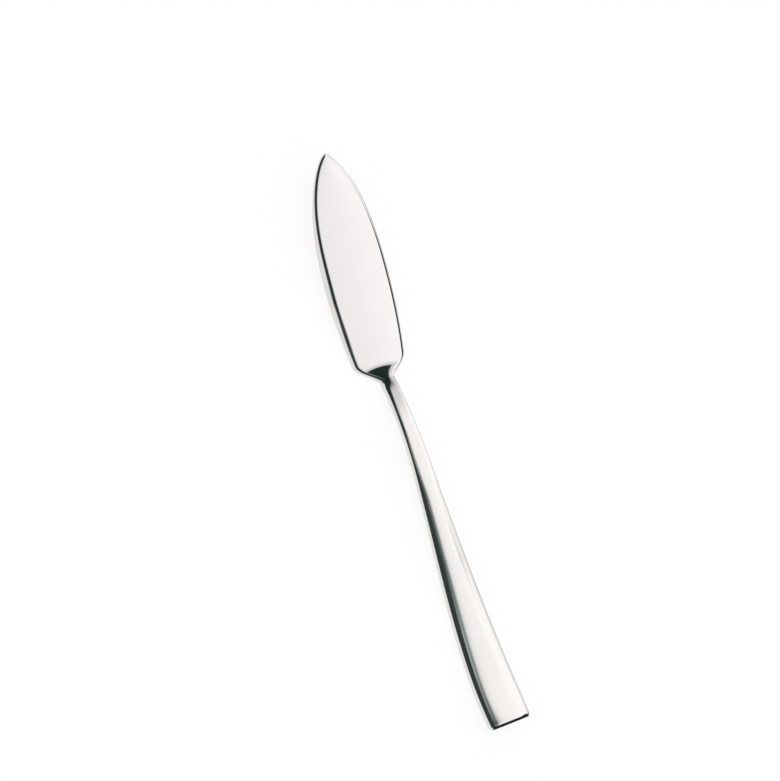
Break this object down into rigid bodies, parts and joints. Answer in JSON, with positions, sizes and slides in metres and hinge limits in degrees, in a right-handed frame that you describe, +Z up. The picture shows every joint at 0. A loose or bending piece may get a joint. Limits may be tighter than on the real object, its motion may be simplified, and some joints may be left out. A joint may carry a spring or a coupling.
{
  "type": "fish knife",
  "caption": "Polished steel fish knife: a flat leaf-shaped blade with a bevelled edge, a slender neck and an arched handle widening to a square butt.",
  "frame": {"origin": "centre of the knife's box, on the table that it rests on", "axes": "+X towards the tip of the blade, +Y towards the bevelled edge, +Z up"},
  "size_m": [0.2084, 0.0272, 0.0117],
  "materials": {
    "blade_steel": "mirror-polished stainless steel",
    "handle_steel": "mirror-polished stainless steel"
  },
  "bodies": {
    "root": {"blade": "blade_steel", "handle": "handle_steel"}
  },
  "joints": []
}
